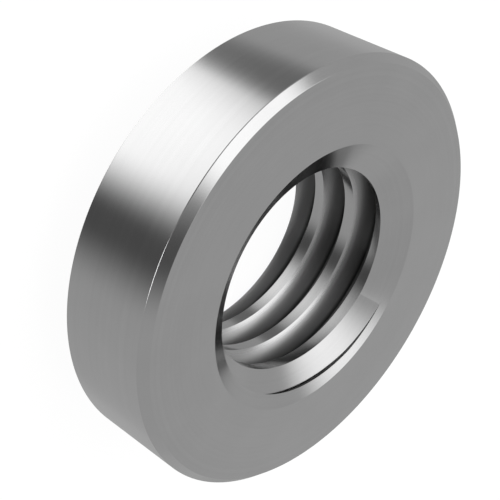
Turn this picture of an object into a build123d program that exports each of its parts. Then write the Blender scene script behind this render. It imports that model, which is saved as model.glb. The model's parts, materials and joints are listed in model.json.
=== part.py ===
from build123d import *
import math
import os

# A self-clinching nut for an M5 x 0.8 screw, turned from steel bar in one piece.
# It stands on the end of its shank, with +Z up through the plain face of the body.
# Sizes are in millimetres.

# Body, the wide disc that stays above the sheet
body_dia = 8.7
body_height = 2.0
body_chamfer = 0.148

# Shank, the pilot that drops into a 6.4 mm hole in the sheet
shank_dia = 6.35
shank_length = 0.97
shank_rim_round = 0.06

# Displacer, the ring of serrations that presses the sheet into the undercut
displacer_dia = 7.4
displacer_height = 0.3
serration_count = 30
serration_depth = 0.25
serration_angle = 90.0

# Undercut, the groove that the sheet flows into, and the cone that locks it there
undercut_dia = 5.9
undercut_width = 0.12
lock_angle = 45.0

# Hole, drilled to the thread's minor diameter and countersunk at both ends
minor_dia = 4.22
countersink_dia = 5.41
countersink_angle = 120.0

# Thread M5 x 0.8, right-hand: a V groove with a narrow flat root, and a flat crest left between turns
thread_pitch = 0.8
thread_angle = 60.0
crest_width = 0.225
root_width = 0.06
thread_start_z = -0.5

# Radii and levels that follow from the sizes above
body_radius = body_dia / 2
shank_radius = shank_dia / 2
displacer_radius = displacer_dia / 2
crest_radius = minor_dia / 2
flank_slope = math.tan(math.radians(thread_angle / 2))
mouth_width = thread_pitch - crest_width
root_radius = crest_radius + (mouth_width - root_width) / 2 / flank_slope
undercut_radius = undercut_dia / 2
shoulder_z = shank_length
top_z = shoulder_z + body_height
displacer_z = shoulder_z - displacer_height
undercut_z = displacer_z - undercut_width
lock_z = undercut_z - (shank_radius - undercut_radius) / math.tan(math.radians(lock_angle))

with BuildPart() as clinch_nut:
    # Half section on the bar's axis: shank, locking cone, undercut, displacer and body
    with BuildSketch(Plane.XZ) as section:
        with BuildLine() as outline:
            Polyline(
                (0, 0),
                (shank_radius, 0),
                (shank_radius, lock_z),
                (undercut_radius, undercut_z),
                (undercut_radius, displacer_z),
                (displacer_radius, displacer_z),
                (displacer_radius, shoulder_z),
                (body_radius, shoulder_z),
                (body_radius, top_z),
                (0, top_z),
                close=True,
            )
        make_face()
    revolve(axis=Axis.Z)

    # Turned chamfer round the plain face, and a small round where the shank enters the hole
    plain_face = clinch_nut.faces().sort_by(Axis.Z)[-1]
    chamfer(plain_face.outer_wire().edges(), length=body_chamfer)
    shank_end = clinch_nut.faces().sort_by(Axis.Z)[0]
    fillet(shank_end.outer_wire().edges(), radius=shank_rim_round)

    # V-shaped notches cut through the displacer's rim, which leave its teeth
    notch_reach = (body_dia - displacer_dia) / 4
    notch_length = serration_depth + notch_reach
    notch_half_width = notch_length * math.tan(math.radians(serration_angle / 2))
    with BuildSketch(Plane.XY.offset(displacer_z)) as notches:
        with PolarLocations(displacer_radius - serration_depth, serration_count):
            Polygon(
                (0, 0),
                (notch_length, -notch_half_width),
                (notch_length, notch_half_width),
                align=None,
            )
    extrude(amount=displacer_height, mode=Mode.SUBTRACT)

    # Thread groove, along a helix that starts below the shank's end and leaves above the plain face
    thread_turns = math.ceil((top_z - thread_start_z) / thread_pitch) + 1
    inner_radius = crest_radius - crest_width / 2
    inner_half_width = mouth_width / 2 + (crest_radius - inner_radius) * flank_slope
    with BuildLine() as tap_path:
        Helix(
            pitch=thread_pitch,
            height=thread_turns * thread_pitch,
            radius=crest_radius,
            center=(0, 0, thread_start_z),
        )
    with BuildSketch(Plane.XZ) as groove:
        with Locations((0, thread_start_z)):
            Polygon(
                (inner_radius, -inner_half_width),
                (root_radius, -root_width / 2),
                (root_radius, root_width / 2),
                (inner_radius, inner_half_width),
                align=None,
            )
    sweep(path=tap_path.line, is_frenet=True, mode=Mode.SUBTRACT)

    # Hole at the minor diameter, which leaves the crests of the thread between the turns of its groove
    with Locations(Plane.XY.offset(top_z)):
        Hole(radius=crest_radius)

    # Countersinks, which open the thread at both ends
    countersink_radius = countersink_dia / 2
    cone_height = countersink_radius / math.tan(math.radians(countersink_angle / 2))
    with Locations(Plane.XY.offset(top_z), Plane.XY.rotated((180, 0, 0))):
        Cone(
            bottom_radius=0,
            top_radius=countersink_radius,
            height=cone_height,
            align=(Align.CENTER, Align.CENTER, Align.MAX),
            mode=Mode.SUBTRACT,
        )

clinch_nut.part.label = "clinch_nut"

os.makedirs("parts", exist_ok=True)
export_step(clinch_nut.part, "parts/clinch_nut.step")
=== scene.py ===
import json
import math

import bpy
from mathutils import Matrix, Vector


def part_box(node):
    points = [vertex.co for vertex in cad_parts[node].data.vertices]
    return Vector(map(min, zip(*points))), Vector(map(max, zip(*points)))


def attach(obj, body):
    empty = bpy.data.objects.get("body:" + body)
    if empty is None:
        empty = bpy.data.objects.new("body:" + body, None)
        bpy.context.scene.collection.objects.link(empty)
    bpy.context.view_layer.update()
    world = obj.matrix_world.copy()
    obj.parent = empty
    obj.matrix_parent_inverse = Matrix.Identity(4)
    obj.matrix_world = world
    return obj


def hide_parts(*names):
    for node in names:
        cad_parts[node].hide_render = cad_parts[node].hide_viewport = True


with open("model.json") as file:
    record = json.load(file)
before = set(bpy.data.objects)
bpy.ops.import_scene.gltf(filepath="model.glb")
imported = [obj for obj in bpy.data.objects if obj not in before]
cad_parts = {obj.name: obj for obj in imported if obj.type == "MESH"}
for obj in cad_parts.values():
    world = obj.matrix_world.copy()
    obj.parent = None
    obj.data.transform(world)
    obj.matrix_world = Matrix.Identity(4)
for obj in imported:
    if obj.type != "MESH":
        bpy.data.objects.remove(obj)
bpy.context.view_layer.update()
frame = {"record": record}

# The nut. One piece of free-cutting steel, turned from bar on a lathe: a plain body with a chamfered
# face, and on its underside a serrated ring, an undercut and a short shank that clinch it into a sheet.
# The hole is drilled, countersunk at both ends and tapped M5 x 0.8.

mm = 0.001
high_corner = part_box("clinch_nut")[1]
mounts = {mount["name"]: mount for mount in frame["record"]["mounts"]}

# The body and the chamfer of its plain face, in millimetres. Sizes that the solid states are read from it.
body_radius = high_corner.x / mm
top_z = high_corner.z / mm
chamfer_size = 0.148

# The underside: the displacer and its V notches, the undercut, and the shank with its 45 degree cone
shoulder_z = mounts["sheet_shoulder"]["pos_m"][2] / mm
displacer_radius = 3.7
displacer_height = 0.3
displacer_z = shoulder_z - displacer_height
notch_count = 30
notch_depth = 0.25
undercut_radius = 2.95
undercut_width = 0.12
undercut_z = displacer_z - undercut_width
shank_radius = mounts["pilot"]["dims"]["r_mm"]
lock_cone_z = undercut_z - (shank_radius - undercut_radius)

# The hole: its countersinks, and the minor radius that the thread's crests are left at
crest_radius = mounts["thread"]["dims"]["r_mm"]
countersink_radius = 2.705
countersink_angle = 120
countersink_slope = math.tan(math.radians(countersink_angle / 2))
countersink_depth = (countersink_radius - crest_radius) / countersink_slope

# The thread: the height at which its groove's root first crosses +X, and the height above which the groove
# is no longer whole, because the countersink has cut its upper side away
thread_pitch = 0.8
thread_angle = 60
thread_crest_width = 0.225
thread_root_width = 0.06
thread_root_z = 0.30
thread_turns = 7
open_groove_z = 2.35
flank_spread = 2 * math.tan(math.radians(thread_angle / 2))
thread_root_radius = crest_radius + (thread_pitch - thread_crest_width - thread_root_width) / flank_spread

# The edges as the tools leave them, and how far the sides of the groove lean towards the axis at the
# crests, which a tap rounds a little
edge_break = 0.02
body_rim_break = 0.027
shank_rim_round = 0.06
crest_lean = 0.09


def rounded_outline(corners, arc_step=math.radians(11.5)):
    """The points of a closed outline. A corner is (radius, height, round) and gets an arc of that round."""
    points = []
    count = len(corners)
    for i, (x, y, fillet) in enumerate(corners):
        here = Vector((x, y))
        if fillet == 0:
            points.append(here)
            continue
        to_last = (Vector(corners[i - 1][:2]) - here).normalized()
        to_next = (Vector(corners[(i + 1) % count][:2]) - here).normalized()
        half_angle = to_last.angle(to_next) / 2
        tangent_length = fillet / math.tan(half_angle)
        centre = here + (to_last + to_next).normalized() * (fillet / math.sin(half_angle))
        start = here + to_last * tangent_length - centre
        sweep = start.angle_signed(here + to_next * tangent_length - centre)
        arc_steps = math.ceil(abs(sweep) / arc_step)
        for step in range(arc_steps + 1):
            turn = Matrix.Rotation(-sweep * step / arc_steps, 2)
            points.append(centre + turn @ start)
    return points


half_section = rounded_outline([
    (countersink_radius, 0, edge_break),
    (shank_radius, 0, shank_rim_round),
    (shank_radius, lock_cone_z, edge_break),
    (undercut_radius, undercut_z, 0),
    (undercut_radius, displacer_z, edge_break),
    (displacer_radius, displacer_z, edge_break),
    (displacer_radius, shoulder_z, 0),
    (body_radius, shoulder_z, edge_break),
    (body_radius, top_z - chamfer_size, body_rim_break),
    (body_radius - chamfer_size, top_z, edge_break),
    (countersink_radius, top_z, edge_break),
    (crest_radius, top_z - countersink_depth, 0),
    (crest_radius, countersink_depth, 0),
])

# The outline lies flat, with X measured from the radius that it is swept round at and Y pointing down
sweep_radius = 3.0
sweep_segments = 720
outline = bpy.data.meshes.new("nut_half_section")
outline.from_pydata(
    [(p.x - sweep_radius, -p.y, 0) for p in half_section],
    [(i, (i + 1) % len(half_section)) for i in range(len(half_section))],
    [],
)
nut_source = bpy.data.objects.new("nut_source", outline)
bpy.context.scene.collection.objects.link(nut_source)


def add_node(tree, kind, settings=None, inputs=None):
    """Adds a node with its settings. An input takes a value, a socket, or a node for its first output."""
    node = tree.nodes.new(kind)
    for name, value in (settings or {}).items():
        setattr(node, name, value)
    for key, value in (inputs or {}).items():
        if isinstance(value, bpy.types.Node):
            value = value.outputs[0]
        if isinstance(value, bpy.types.NodeSocket):
            tree.links.new(value, node.inputs[key])
        else:
            node.inputs[key].default_value = value
    return node


turning = bpy.data.node_groups.new("turned and tapped nut", "GeometryNodeTree")
turning.interface.new_socket(name="Half section", in_out="INPUT", socket_type="NodeSocketGeometry")
turning.interface.new_socket(name="Nut", in_out="OUTPUT", socket_type="NodeSocketGeometry")
size_inputs = {}
for name, kind, value in (
    ("Segments", "NodeSocketInt", sweep_segments),
    ("Sweep radius", "NodeSocketFloat", sweep_radius),
    ("Top height", "NodeSocketFloat", top_z),
    ("Countersink radius", "NodeSocketFloat", countersink_radius),
    ("Countersink slope", "NodeSocketFloat", countersink_slope),
    ("Pitch", "NodeSocketFloat", thread_pitch),
    ("Flank spread", "NodeSocketFloat", flank_spread),
    ("Crest radius", "NodeSocketFloat", crest_radius),
    ("Crest width", "NodeSocketFloat", thread_crest_width),
    ("Crest lean", "NodeSocketFloat", crest_lean),
    ("Root radius", "NodeSocketFloat", thread_root_radius),
    ("Root height at +X", "NodeSocketFloat", thread_root_z),
    ("Turns", "NodeSocketInt", thread_turns),
    ("Open groove height", "NodeSocketFloat", open_groove_z),
    ("Notches", "NodeSocketInt", notch_count),
    ("Notch root radius", "NodeSocketFloat", displacer_radius - notch_depth),
    ("Notch height", "NodeSocketFloat", shoulder_z),
    ("Material", "NodeSocketMaterial", None),
):
    socket = turning.interface.new_socket(name=name, in_out="INPUT", socket_type=kind)
    size_inputs[name] = (socket.identifier, value)
given = turning.nodes.new("NodeGroupInput").outputs
plus = {"operation": "ADD"}
minus = {"operation": "SUBTRACT"}
times = {"operation": "MULTIPLY"}
over = {"operation": "DIVIDE"}
is_less = {"operation": "LESS_THAN"}
is_more = {"operation": "GREATER_THAN"}

# The blank: the half section swept round the axis
section_curve = add_node(turning, "GeometryNodeMeshToCurve", None, {0: given["Half section"]})
sweep_circle = add_node(turning, "GeometryNodeCurvePrimitiveCircle", {"mode": "RADIUS"},
                        {"Resolution": given["Segments"], "Radius": given["Sweep radius"]})
upright_circle = add_node(turning, "GeometryNodeSetCurveNormal", {"mode": "Z_UP"}, {"Curve": sweep_circle})
swept = add_node(turning, "GeometryNodeCurveToMesh", None,
                 {"Curve": upright_circle, "Profile Curve": section_curve})
blank = add_node(turning, "GeometryNodeFlipFaces", None, {0: swept})

# The thread's groove: a V with a narrow flat root, swept along a right-hand helix. Its cutter reaches in
# past the crests by a share of their width, and starts and ends beyond the nut's two faces.
inner_reach_share = 0.4
turns_below = 2.0
inner_reach = add_node(turning, "ShaderNodeMath", times, {0: given["Crest width"], 1: inner_reach_share})
groove_depth = add_node(turning, "ShaderNodeMath", minus,
                        {0: given["Root radius"], 1: given["Crest radius"]})
mouth_at_crest = add_node(turning, "ShaderNodeMath", minus, {0: given["Pitch"], 1: given["Crest width"]})
depth_spread = add_node(turning, "ShaderNodeMath", times, {0: groove_depth, 1: given["Flank spread"]})
root_width = add_node(turning, "ShaderNodeMath", minus, {0: mouth_at_crest, 1: depth_spread})
reach_spread = add_node(turning, "ShaderNodeMath", times, {0: inner_reach, 1: given["Flank spread"]})
cutter_mouth = add_node(turning, "ShaderNodeMath", plus, {0: mouth_at_crest, 1: reach_spread})
cutter_depth = add_node(turning, "ShaderNodeMath", plus, {0: groove_depth, 1: inner_reach})
half_cutter = add_node(turning, "ShaderNodeMath", times, {0: cutter_depth, 1: 0.5})
cutter_radius = add_node(turning, "ShaderNodeMath", minus, {0: given["Root radius"], 1: half_cutter})
trapezoid = add_node(turning, "GeometryNodeCurvePrimitiveQuadrilateral", {"mode": "TRAPEZOID"},
                     {"Bottom Width": cutter_mouth, "Top Width": root_width, "Offset": 0.0,
                      "Height": cutter_depth})
groove_profile = add_node(turning, "GeometryNodeTransform", None,
                          {"Geometry": trapezoid, "Rotation": (0, 0, math.radians(-90))})
helix_height = add_node(turning, "ShaderNodeMath", times, {0: given["Turns"], 1: given["Pitch"]})
helix = add_node(turning, "GeometryNodeCurveSpiral", None,
                 {"Resolution": given["Segments"], "Rotations": given["Turns"],
                  "Start Radius": cutter_radius, "End Radius": cutter_radius,
                  "Height": helix_height, "Reverse": True})
helix_drop = add_node(turning, "ShaderNodeMath", times, {0: given["Pitch"], 1: turns_below})
helix_start = add_node(turning, "ShaderNodeMath", minus, {0: given["Root height at +X"], 1: helix_drop})
helix_place = add_node(turning, "ShaderNodeCombineXYZ", None, {"Z": helix_start})
placed_helix = add_node(turning, "GeometryNodeTransform", None,
                        {"Geometry": helix, "Translation": helix_place})
upright_helix = add_node(turning, "GeometryNodeSetCurveNormal", {"mode": "Z_UP"}, {"Curve": placed_helix})
groove = add_node(turning, "GeometryNodeCurveToMesh", None,
                  {"Curve": upright_helix, "Profile Curve": groove_profile, "Fill Caps": True})
cutting = {"operation": "DIFFERENCE", "solver": "MANIFOLD"}
tapped = add_node(turning, "GeometryNodeMeshBoolean", cutting, {"Mesh 1": blank, "Mesh 2": groove})

# The serrations: square bars on edge, spaced round the displacer, cut V notches down through its rim
bar_width = 0.6
bar_length = 1.2
bar_offset = bar_width / 2 * math.sqrt(2)
bar_turn = math.radians(45)
notch_circle = add_node(turning, "GeometryNodeMeshCircle", None,
                        {"Vertices": given["Notches"], "Radius": given["Notch root radius"]})
spoke = add_node(turning, "GeometryNodeInputPosition")
outward = add_node(turning, "FunctionNodeAlignRotationToVector", {"axis": "X"}, {"Vector": spoke})
bar = add_node(turning, "GeometryNodeMeshCube", None, {"Size": (bar_width, bar_width, bar_length)})
bar_on_edge = add_node(turning, "GeometryNodeTransform", None,
                       {"Geometry": bar, "Translation": (bar_offset, 0, -bar_length / 2),
                        "Rotation": (0, 0, bar_turn)})
bars = add_node(turning, "GeometryNodeInstanceOnPoints", None,
                {"Points": notch_circle, "Instance": bar_on_edge, "Rotation": outward})
bar_lift = add_node(turning, "ShaderNodeCombineXYZ", None, {"Z": given["Notch height"]})
lifted_bars = add_node(turning, "GeometryNodeTransform", None, {"Geometry": bars, "Translation": bar_lift})
loose_bars = add_node(turning, "GeometryNodeRealizeInstances", None, {0: lifted_bars})
serrated = add_node(turning, "GeometryNodeMeshBoolean", cutting, {"Mesh 1": tapped, "Mesh 2": loose_bars})

# Clean reflections. Each face keeps the slope that it has against the axis, turned to each corner's own
# place round the axis, so that turned and tapped surfaces reflect without facets. The faces of a groove
# lean inward near its crests, which rounds these as a tap does. The notches stay flat.
axis = (0, 0, 1)
across_axis = (1, 1, 0)
inward = (-1, 0, 0)
to_length = {"operation": "LENGTH"}
to_unit = {"operation": "NORMALIZE"}
crossed = {"operation": "CROSS_PRODUCT"}
dotted = {"operation": "DOT_PRODUCT"}
scaled = {"operation": "SCALE"}
of_face = {"data_type": "FLOAT_VECTOR", "domain": "FACE"}


def about_axis(place):
    """The outward and the round direction at a place in the nut, and its distance from the axis."""
    spread = add_node(turning, "ShaderNodeVectorMath", times, {0: place, 1: across_axis})
    out_way = add_node(turning, "ShaderNodeVectorMath", to_unit, {0: spread})
    round_way = add_node(turning, "ShaderNodeVectorMath", crossed, {0: axis, 1: out_way})
    distance = add_node(turning, "ShaderNodeVectorMath", to_length, {0: spread})
    return out_way, round_way, distance.outputs["Value"]


corner_place = add_node(turning, "GeometryNodeInputPosition")
face_place = add_node(turning, "GeometryNodeFieldOnDomain", of_face, {0: corner_place})
true_normal = add_node(turning, "GeometryNodeInputNormal").outputs["True Normal"]
face_normal = add_node(turning, "GeometryNodeFieldOnDomain", of_face, {0: true_normal})
corner_out, corner_round, corner_radius = about_axis(corner_place)
face_out, face_round, face_radius = about_axis(face_place)
out_share, round_share, axis_share = (
    add_node(turning, "ShaderNodeVectorMath", dotted, {0: face_normal, 1: way}).outputs["Value"]
    for way in (face_out, face_round, axis)
)

# A face lies in a groove if it is off the crests, within the roots, and clear of both countersinks' cones
clearance = 0.004
face_height = add_node(turning, "ShaderNodeSeparateXYZ", None, {0: face_place}).outputs["Z"]
in_from_cone = add_node(turning, "ShaderNodeMath", minus, {0: given["Countersink radius"], 1: face_radius})
cone_rise = add_node(turning, "ShaderNodeMath", over, {0: in_from_cone, 1: given["Countersink slope"]})
top_cone = add_node(turning, "ShaderNodeMath", minus, {0: given["Top height"], 1: cone_rise})
top_limit = add_node(turning, "ShaderNodeMath", minus, {0: top_cone, 1: clearance})
low_limit = add_node(turning, "ShaderNodeMath", plus, {0: cone_rise, 1: clearance})
crest_limit = add_node(turning, "ShaderNodeMath", plus, {0: given["Crest radius"], 1: clearance})
root_limit = add_node(turning, "ShaderNodeMath", plus, {0: given["Root radius"], 1: clearance})
below_top_cone = add_node(turning, "ShaderNodeMath", is_less, {0: face_height, 1: top_limit})
above_low_cone = add_node(turning, "ShaderNodeMath", is_more, {0: face_height, 1: low_limit})
off_crest = add_node(turning, "ShaderNodeMath", is_more, {0: face_radius, 1: crest_limit})
in_bore = add_node(turning, "ShaderNodeMath", is_less, {0: face_radius, 1: root_limit})
between_cones = add_node(turning, "ShaderNodeMath", times, {0: below_top_cone, 1: above_low_cone})
in_thread_depth = add_node(turning, "ShaderNodeMath", times, {0: off_crest, 1: in_bore})
in_groove = add_node(turning, "ShaderNodeMath", times, {0: between_cones, 1: in_thread_depth})
below_open_end = add_node(turning, "ShaderNodeMath", is_less,
                          {0: face_height, 1: given["Open groove height"]})
full_thread = add_node(turning, "ShaderNodeMath", times, {0: in_groove, 1: below_open_end})

# The normal by its shares, with the helix's own twist only in the grooves, and the lean near the crests
depth_share = add_node(turning, "ShaderNodeMapRange", None,
                       {"Value": corner_radius, "From Min": given["Crest radius"],
                        "From Max": given["Root radius"]})
groove_twist = add_node(turning, "ShaderNodeMath", times, {0: round_share, 1: in_groove})
turned_normal = add_node(turning, "ShaderNodeCombineXYZ", None,
                         {"X": out_share, "Y": groove_twist, "Z": axis_share})
crest_share = add_node(turning, "ShaderNodeMath", minus, {0: 1.0, 1: depth_share})
thread_crest_share = add_node(turning, "ShaderNodeMath", times, {0: full_thread, 1: crest_share})
lean = add_node(turning, "ShaderNodeMath", times, {0: thread_crest_share, 1: given["Crest lean"]})
leaning = add_node(turning, "ShaderNodeMix", {"data_type": "VECTOR"},
                   {0: lean, 4: turned_normal, 5: inward}).outputs[1]
shares = add_node(turning, "ShaderNodeSeparateXYZ", None, {0: leaning}).outputs
out_part = add_node(turning, "ShaderNodeVectorMath", scaled, {0: corner_out, "Scale": shares["X"]})
round_part = add_node(turning, "ShaderNodeVectorMath", scaled, {0: corner_round, "Scale": shares["Y"]})
axis_part = add_node(turning, "ShaderNodeVectorMath", scaled, {0: axis, "Scale": shares["Z"]})
level_normal = add_node(turning, "ShaderNodeVectorMath", plus, {0: out_part, 1: round_part})
round_normal = add_node(turning, "ShaderNodeVectorMath", plus, {0: level_normal, 1: axis_part})

# A notch's faces look along the displacer's rim, far more than any turned or tapped face does
flat_face_share = 0.3
along_rim = add_node(turning, "ShaderNodeMath", {"operation": "ABSOLUTE"}, {0: round_share})
flat_face = add_node(turning, "FunctionNodeCompare", is_more, {0: along_rim, 1: flat_face_share})
clean_normal = add_node(turning, "GeometryNodeSwitch", {"input_type": "VECTOR"},
                        {0: flat_face, 1: round_normal, 2: face_normal})

# Faces are smooth, and an edge stays sharp where they turn by over 2 degrees, four steps of the sweep
corner_angle = math.radians(2)
edge_angle = add_node(turning, "GeometryNodeInputMeshEdgeAngle").outputs["Unsigned Angle"]
corner_edge = add_node(turning, "FunctionNodeCompare", is_more, {0: edge_angle, 1: corner_angle})
smooth = add_node(turning, "GeometryNodeSetShadeSmooth", {"domain": "FACE"},
                  {"Geometry": serrated, "Shade Smooth": True})
edged = add_node(turning, "GeometryNodeSetShadeSmooth", {"domain": "EDGE"},
                 {"Geometry": smooth, "Selection": corner_edge, "Shade Smooth": False})

# The mark that the thread's roughness and its painted root shade follow: 0 off the thread and at its
# crests, and 1 at its roots.
# The open end of the groove has its mark on the narrow root alone, which looks towards the axis.
root_facing = -0.9
open_root_depth = 0.8
whole_depth = add_node(turning, "ShaderNodeMath", times, {0: full_thread, 1: depth_share})
faces_axis = add_node(turning, "ShaderNodeMath", is_less, {0: out_share, 1: root_facing})
root_face = add_node(turning, "ShaderNodeMath", times, {0: in_groove, 1: faces_axis})
open_depth = add_node(turning, "ShaderNodeMath", times, {0: root_face, 1: open_root_depth})
tap_depth = add_node(turning, "ShaderNodeMath", {"operation": "MAXIMUM"}, {0: whole_depth, 1: open_depth})
marked = add_node(turning, "GeometryNodeStoreNamedAttribute", {"data_type": "FLOAT", "domain": "CORNER"},
                  {"Geometry": edged, "Name": "tap_depth", "Value": tap_depth})
polished = add_node(turning, "GeometryNodeSetMeshNormal", {"mode": "FREE", "domain": "CORNER"},
                    {"Mesh": marked, "Custom Normal": clean_normal})
in_metres = add_node(turning, "GeometryNodeTransform", None, {"Geometry": polished, "Scale": (mm, mm, mm)})
realized = add_node(turning, "GeometryNodeRealizeInstances", None, {0: in_metres})
finished = add_node(turning, "GeometryNodeSetMaterial", None,
                    {"Geometry": realized, "Material": given["Material"]})
add_node(turning, "NodeGroupOutput", None, {0: finished})


def linear(hex_colour):
    """The linear colour of an sRGB hex value."""
    channels = [int(hex_colour[i:i + 2], 16) / 255 for i in (1, 3, 5)]
    curve = [c / 12.92 if c <= 0.04045 else ((c + 0.055) / 1.055) ** 2.4 for c in channels]
    return (*curve, 1.0)


# Bright turned steel: free-cutting steel straight from the lathe, washed and not plated. The tool leaves
# fine rings round the axis, which the eye sees as a faint satin in a clean, slightly blurred reflection.
# The tap tears the steel a little, so its grooves are duller, and their roots are darkened with painted
# shade.
steel_dark = linear("#898989")
steel_light = linear("#8D8D8D")
# Painted shade in the thread's roots: a darker grey, blended in over the deepest fifth of each groove
root_shade_colour = linear("#555555")
root_shade_start = 0.8
turned_smooth = 0.14
turned_rough = 0.16
tapped_rough = 0.35
tapped_start = 0.25
steel = bpy.data.materials.new("bright_turned_steel")
steel.use_nodes = True
steel_tree = steel.node_tree
steel_tree.nodes.clear()

# The rings follow the radius on the faces and the height on the side, where the tool feeds faster. A
# finishing cut's feed of about 0.05 mm a turn hardly shows at this size, so it is drawn as 0.08 mm. The
# rings are drawn far lower than the real ones, 1 micrometre high, for a face that looks almost polished.
tool_feed = 0.08 * mm
side_feed_share = 0.6
ring_height = 0.00003 * mm
where = add_node(steel_tree, "ShaderNodeTexCoord").outputs["Object"]
place = add_node(steel_tree, "ShaderNodeSeparateXYZ", None, {0: where}).outputs
across = add_node(steel_tree, "ShaderNodeCombineXYZ", None, {"X": place["X"], "Y": place["Y"]})
radius = add_node(steel_tree, "ShaderNodeVectorMath", to_length, {0: across}).outputs["Value"]
rise = add_node(steel_tree, "ShaderNodeMath", times, {0: place["Z"], 1: side_feed_share})
travel = add_node(steel_tree, "ShaderNodeMath", plus, {0: radius, 1: rise})
tool_turns = add_node(steel_tree, "ShaderNodeMath", over, {0: travel, 1: tool_feed})
rings = add_node(steel_tree, "ShaderNodeTexNoise", {"noise_dimensions": "1D"},
                 {"W": tool_turns, "Scale": 1.0, "Detail": 2.0, "Roughness": 0.6})
bump = add_node(steel_tree, "ShaderNodeBump", None,
                {"Height": rings.outputs["Fac"], "Strength": 1.0, "Distance": ring_height})

# The steel's tone drifts a little from ring to ring, and in faint clouds about 0.9 mm across, which are
# drawn far coarser than its grain, too fine to show
cloud_size = 0.9 * mm
cloud_weight = 0.6
ring_weight = 0.4
tone_low = 0.3
tone_high = 0.7
clouds = add_node(steel_tree, "ShaderNodeTexNoise", None,
                  {"Vector": where, "Scale": 1 / cloud_size, "Detail": 3.0, "Roughness": 0.55})
cloud_tone = add_node(steel_tree, "ShaderNodeMath", times, {0: clouds.outputs["Fac"], 1: cloud_weight})
tone = add_node(steel_tree, "ShaderNodeMath", {"operation": "MULTIPLY_ADD"},
                {0: rings.outputs["Fac"], 1: ring_weight, 2: cloud_tone})
colour = add_node(steel_tree, "ShaderNodeValToRGB", None, {"Fac": tone})
colour.color_ramp.elements[0].position = tone_low
colour.color_ramp.elements[0].color = steel_dark
colour.color_ramp.elements[1].position = tone_high
colour.color_ramp.elements[1].color = steel_light
turned_roughness = add_node(steel_tree, "ShaderNodeMapRange", None,
                            {"Value": tone, "From Min": tone_low, "From Max": tone_high,
                             "To Min": turned_smooth, "To Max": turned_rough})

# The thread's roughness, and the painted shade that darkens its roots, by the mark of its depth
depth_mark = add_node(steel_tree, "ShaderNodeAttribute", {"attribute_name": "tap_depth"}).outputs["Fac"]
softly = {"interpolation_type": "SMOOTHSTEP"}
painted_root_shade = add_node(steel_tree, "ShaderNodeMapRange", softly,
                   {"Value": depth_mark, "From Min": root_shade_start, "From Max": 1.0})
shaded_colour = add_node(steel_tree, "ShaderNodeMix", {"data_type": "RGBA"},
                         {0: painted_root_shade, 6: colour, 7: root_shade_colour}).outputs[2]
tapped_share = add_node(steel_tree, "ShaderNodeMapRange", None,
                        {"Value": depth_mark, "From Min": 0.0, "From Max": tapped_start})
roughness = add_node(steel_tree, "ShaderNodeMix", {"data_type": "FLOAT"},
                     {0: tapped_share, 2: turned_roughness, 3: tapped_rough})
surface = add_node(steel_tree, "ShaderNodeBsdfPrincipled", None,
                   {"Base Color": shaded_colour, "Metallic": 1.0, "Roughness": roughness, "Normal": bump})
add_node(steel_tree, "ShaderNodeOutputMaterial", None, {"Surface": surface})

modifier = nut_source.modifiers.new("turning", "NODES")
modifier.node_group = turning
size_inputs["Material"] = (size_inputs["Material"][0], steel)
for identifier, value in size_inputs.values():
    modifier[identifier] = value
bpy.context.view_layer.update()
evaluated = nut_source.evaluated_get(bpy.context.evaluated_depsgraph_get())
nut_mesh = bpy.data.meshes.new_from_object(evaluated)
nut_source.modifiers.remove(modifier)
bpy.data.objects.remove(nut_source)

# The bare outline had no material, which leaves an empty slot before the steel's
nut_mesh.materials.pop(index=0)
nut = bpy.data.objects.new("turned_nut", nut_mesh)
bpy.context.scene.collection.objects.link(nut)
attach(nut, "root")
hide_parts("clinch_nut")

# The floor: a plain white studio table, wide enough to fill every view. It is drawn white to the camera,
# and keeps the nut's soft shadow. The polished metal sees past it, to the white studio.
floor_reach = 2.0
floor_mesh = bpy.data.meshes.new("floor")
floor_mesh.from_pydata(
    [(-floor_reach, -floor_reach, 0), (floor_reach, -floor_reach, 0),
     (floor_reach, floor_reach, 0), (-floor_reach, floor_reach, 0)],
    [],
    [(0, 1, 2, 3)],
)
floor = bpy.data.objects.new("floor", floor_mesh)
bpy.context.scene.collection.objects.link(floor)
floor.visible_glossy = False

# Its paint is a dark matt grey that shows the shadow, under a glow for the camera that brings it to white
table_grey = linear("#3E3E3E")
white = linear("#FFFFFF")
glow_strength = 0.957
table = bpy.data.materials.new("matt_white_table")
table.use_nodes = True
table_tree = table.node_tree
table_tree.nodes.clear()
table_paint = add_node(table_tree, "ShaderNodeBsdfDiffuse", None, {"Color": table_grey})
table_glow = add_node(table_tree, "ShaderNodeEmission", None, {"Color": white, "Strength": glow_strength})
no_glow = add_node(table_tree, "ShaderNodeEmission", None, {"Strength": 0.0})
table_ray = add_node(table_tree, "ShaderNodeLightPath").outputs["Is Camera Ray"]
seen_glow = add_node(table_tree, "ShaderNodeMixShader", None, {0: table_ray, 1: no_glow, 2: table_glow})
table_sum = add_node(table_tree, "ShaderNodeAddShader", None, {0: table_paint, 1: seen_glow})
add_node(table_tree, "ShaderNodeOutputMaterial", None, {"Surface": table_sum})
floor_mesh.materials.append(table)

# The studio: white all round, with soft round cards in it. The bright ones are the key lights, and the dark
# ones are flags, which give the polished metal its dark bands. Each is a direction, two angles and a level.
studio = bpy.data.worlds.new("studio")
bpy.context.scene.world = studio
studio.use_nodes = True
studio_tree = studio.node_tree
studio_tree.nodes.clear()
direction = add_node(studio_tree, "ShaderNodeTexCoord").outputs["Generated"]
white_level = 1.0


def toward(azimuth, elevation):
    """The direction at an azimuth, turned from +X to +Y, and an elevation, both in degrees."""
    turn = math.radians(azimuth)
    lift = math.radians(elevation)
    return Vector((math.cos(turn) * math.cos(lift), math.sin(turn) * math.cos(lift), math.sin(lift)))


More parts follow.
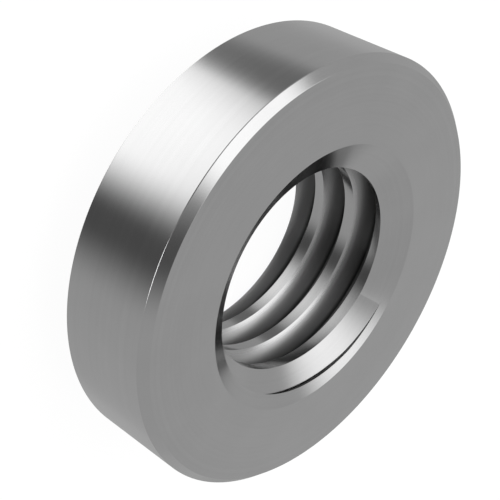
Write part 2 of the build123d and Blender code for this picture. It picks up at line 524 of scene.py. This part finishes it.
def with_card(level, azimuth, elevation, inner, outer, strength):
    """The studio's level with a round soft card in it, full inside one angle and gone outside another."""
    facing = add_node(studio_tree, "ShaderNodeVectorMath", dotted,
                      {0: direction, 1: toward(azimuth, elevation)}).outputs["Value"]
    coverage = add_node(studio_tree, "ShaderNodeMapRange", softly,
                        {"Value": facing, "From Min": math.cos(math.radians(outer)),
                         "From Max": math.cos(math.radians(inner))})
    return add_node(studio_tree, "ShaderNodeMix", {"data_type": "FLOAT"},
                    {"Factor": coverage, "A": level, "B": strength})


# A wide dim area low behind the nut, and a dimmer one in it, for the greys of its side and countersink
level = with_card(white_level, azimuth=95, elevation=-41, inner=5, outer=71, strength=0.65)
level = with_card(level, azimuth=90, elevation=-24, inner=5, outer=40, strength=0.45)
# The low key light, for the white band on the side
level = with_card(level, azimuth=242, elevation=-66, inner=25, outer=40, strength=3.8)
# The high key light, for the white band on the chamfer, and a softer one beside it, for the countersink
# and the thread
level = with_card(level, azimuth=215, elevation=52, inner=16, outer=33, strength=3.9)
level = with_card(level, azimuth=193, elevation=63, inner=1, outer=34, strength=3.4)
# A low flag, which ends the side's white band with a dark one
level = with_card(level, azimuth=190, elevation=-32, inner=5, outer=17, strength=0.43)
# Two flags at the nut's own height, for the dark line along the edge between side and chamfer
level = with_card(level, azimuth=236, elevation=2, inner=6, outer=20, strength=0.3)
level = with_card(level, azimuth=262, elevation=5, inner=8, outer=22, strength=0.15)

# A dark upright strip, for the dark bands on the side, on the chamfer and in the hole. It is darkest along
# its middle, stands on one side of the nut only, and fades out towards the zenith.
strip_azimuth = 298
strip_level = 0.22
strip_middle = math.sin(math.radians(3))
strip_edge = math.sin(math.radians(27))
strip_front = 0.2
strip_high = math.sin(math.radians(62))
strip_top = math.sin(math.radians(82))
aside, ahead, upward = (
    add_node(studio_tree, "ShaderNodeVectorMath", dotted, {0: direction, 1: way}).outputs["Value"]
    for way in (toward(strip_azimuth - 90, 0), toward(strip_azimuth, 0), axis)
)
off_middle = add_node(studio_tree, "ShaderNodeMath", {"operation": "ABSOLUTE"}, {0: aside})
strip_width = add_node(studio_tree, "ShaderNodeMapRange", softly,
                       {"Value": off_middle, "From Min": strip_edge, "From Max": strip_middle})
strip_side = add_node(studio_tree, "ShaderNodeMapRange", softly,
                      {"Value": ahead, "From Min": 0.0, "From Max": strip_front})
strip_height = add_node(studio_tree, "ShaderNodeMapRange", softly,
                        {"Value": upward, "From Min": strip_top, "From Max": strip_high})
half_strip = add_node(studio_tree, "ShaderNodeMath", times, {0: strip_width, 1: strip_side})
strip = add_node(studio_tree, "ShaderNodeMath", times, {0: half_strip, 1: strip_height})
level = add_node(studio_tree, "ShaderNodeMix", {"data_type": "FLOAT"},
                 {"Factor": strip, "A": level, "B": strip_level})
# A small strong light in front of the strip, for the bright part of the line along the chamfer's edge
level = with_card(level, azimuth=302, elevation=-2, inner=8, outer=17, strength=7.0)

# The camera sees the studio plain white
seen = add_node(studio_tree, "ShaderNodeLightPath").outputs["Is Camera Ray"]
level = add_node(studio_tree, "ShaderNodeMix", {"data_type": "FLOAT"},
                 {"Factor": seen, "A": level, "B": white_level})
background = add_node(studio_tree, "ShaderNodeBackground", None, {"Color": white, "Strength": level})
add_node(studio_tree, "ShaderNodeOutputWorld", None, {"Surface": background})

# The camera looks down on the plain face at the photograph's angle, with the nut rolled on its side. It
# stands off from the nut's middle by millimetres to its own right, up its frame and back.
view_elevation = math.asin(1 / math.sqrt(3))
view_roll = math.radians(120)
stand_off = Vector((-0.2598, -0.0372, 23.892))
camera_data = bpy.data.cameras.new("camera")
camera_data.lens = 89.575
camera_data.clip_start = 0.001
camera_data.clip_end = 10.0
camera = bpy.data.objects.new("camera", camera_data)
bpy.context.scene.collection.objects.link(camera)
turned = Matrix.Rotation(math.radians(90) - view_elevation, 4, "X") @ Matrix.Rotation(view_roll, 4, "Z")
nut_centre = Vector((0, 0, top_z / 2))
camera.matrix_world = Matrix.Translation((nut_centre + turned @ stand_off) * mm) @ turned
bpy.context.scene.camera = camera
bpy.context.scene.view_settings.view_transform = "Standard"
